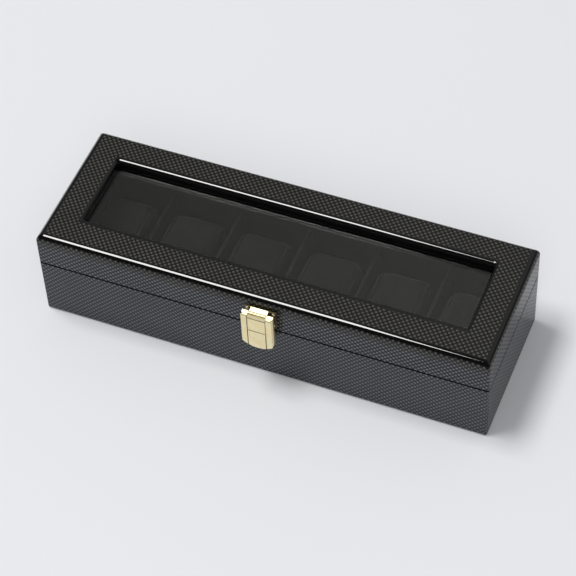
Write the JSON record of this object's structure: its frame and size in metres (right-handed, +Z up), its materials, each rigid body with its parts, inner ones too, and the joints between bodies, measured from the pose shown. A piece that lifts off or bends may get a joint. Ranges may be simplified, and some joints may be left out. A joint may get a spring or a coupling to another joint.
{
  "type": "watch box",
  "caption": "Long flat watch box with a glass window in its hinged lid, a gold hasp at the front and cushions in suede-lined bays.",
  "frame": {"origin": "centre of the felt underside, on the surface that the box stands on", "axes": "+X along the length, -Y towards the hasp, +Y towards the hinges, +Z up"},
  "size_m": [0.33, 0.1246, 0.077],
  "materials": {
    "carbon_board": "MDF under a lacquered black carbon-look film",
    "plywood": "black-stained plywood",
    "felt": "black felt",
    "suede": "black suede-look lining",
    "cushion_cover": "black suede-look cover over foam",
    "glass": "clear flat glass",
    "brass": "pale gold plate, satin to bright",
    "spring_steel": "spring steel"
  },
  "bodies": {
    "base": {"base_front_panel": "carbon_board", "lining_front": "suede", "base_back_panel": "carbon_board", "lining_back": "suede", "base_left_panel": "carbon_board", "lining_left": "suede", "base_right_panel": "carbon_board", "lining_right": "suede", "base_floor_panel": "plywood", "base_felt": "felt", "lining_floor": "suede", "divider_1": "suede", "divider_2": "suede", "divider_3": "suede", "divider_4": "suede", "divider_5": "suede", "hinge_left_base_leaf": "brass", "hinge_left_pin": "brass", "hinge_right_base_leaf": "brass", "hinge_right_pin": "brass", "hinge_base_screws": "brass", "latch_keeper": "brass", "latch_keeper_pins": "brass"},
    "lid": {"lid_front_rail": "carbon_board", "lid_back_rail": "carbon_board", "lid_left_rail": "carbon_board", "lid_right_rail": "carbon_board", "lid_top_frame": "carbon_board", "window_glass": "glass", "lid_headliner": "suede", "lid_lining_front": "suede", "lid_lining_back": "suede", "lid_lining_left": "suede", "lid_lining_right": "suede", "hinge_left_lid_leaf": "brass", "hinge_right_lid_leaf": "brass", "hinge_lid_screws": "brass", "latch_lid_plate": "brass", "latch_pivot_pin": "brass", "latch_lid_pins": "brass"},
    "latch_flap": {"latch_flap": "brass", "latch_spring_leaf": "spring_steel"},
    "pillow_1": {"watch_pillow_1": "cushion_cover"},
    "pillow_2": {"watch_pillow_2": "cushion_cover"},
    "pillow_3": {"watch_pillow_3": "cushion_cover"},
    "pillow_4": {"watch_pillow_4": "cushion_cover"},
    "pillow_5": {"watch_pillow_5": "cushion_cover"},
    "pillow_6": {"watch_pillow_6": "cushion_cover"}
  },
  "joints": [
    {"name": "lid_hinge", "type": "hinge", "parent": "base", "child": "lid", "pos_m": [0, 0.0565, 0.05], "axis": [-1, 0, 0], "range_deg": [0, 100], "deforming": ["latch_spring_leaf"]},
    {"name": "latch_hinge", "type": "hinge", "parent": "lid", "child": "latch_flap", "pos_m": [0.0032, -0.0604, 0.069], "axis": [-1, 0, 0], "range_deg": [0, 90], "deforming": ["latch_spring_leaf"]},
    {"name": "pillow_1_lift", "type": "slide", "parent": "base", "child": "pillow_1", "axis": [0, 0, 1], "range_m": [0, 0.015]},
    {"name": "pillow_2_lift", "type": "slide", "parent": "base", "child": "pillow_2", "axis": [0, 0, 1], "range_m": [0, 0.015]},
    {"name": "pillow_3_lift", "type": "slide", "parent": "base", "child": "pillow_3", "axis": [0, 0, 1], "range_m": [0, 0.015]},
    {"name": "pillow_4_lift", "type": "slide", "parent": "base", "child": "pillow_4", "axis": [0, 0, 1], "range_m": [0, 0.015]},
    {"name": "pillow_5_lift", "type": "slide", "parent": "base", "child": "pillow_5", "axis": [0, 0, 1], "range_m": [0, 0.015]},
    {"name": "pillow_6_lift", "type": "slide", "parent": "base", "child": "pillow_6", "axis": [0, 0, 1], "range_m": [0, 0.015]}
  ]
}
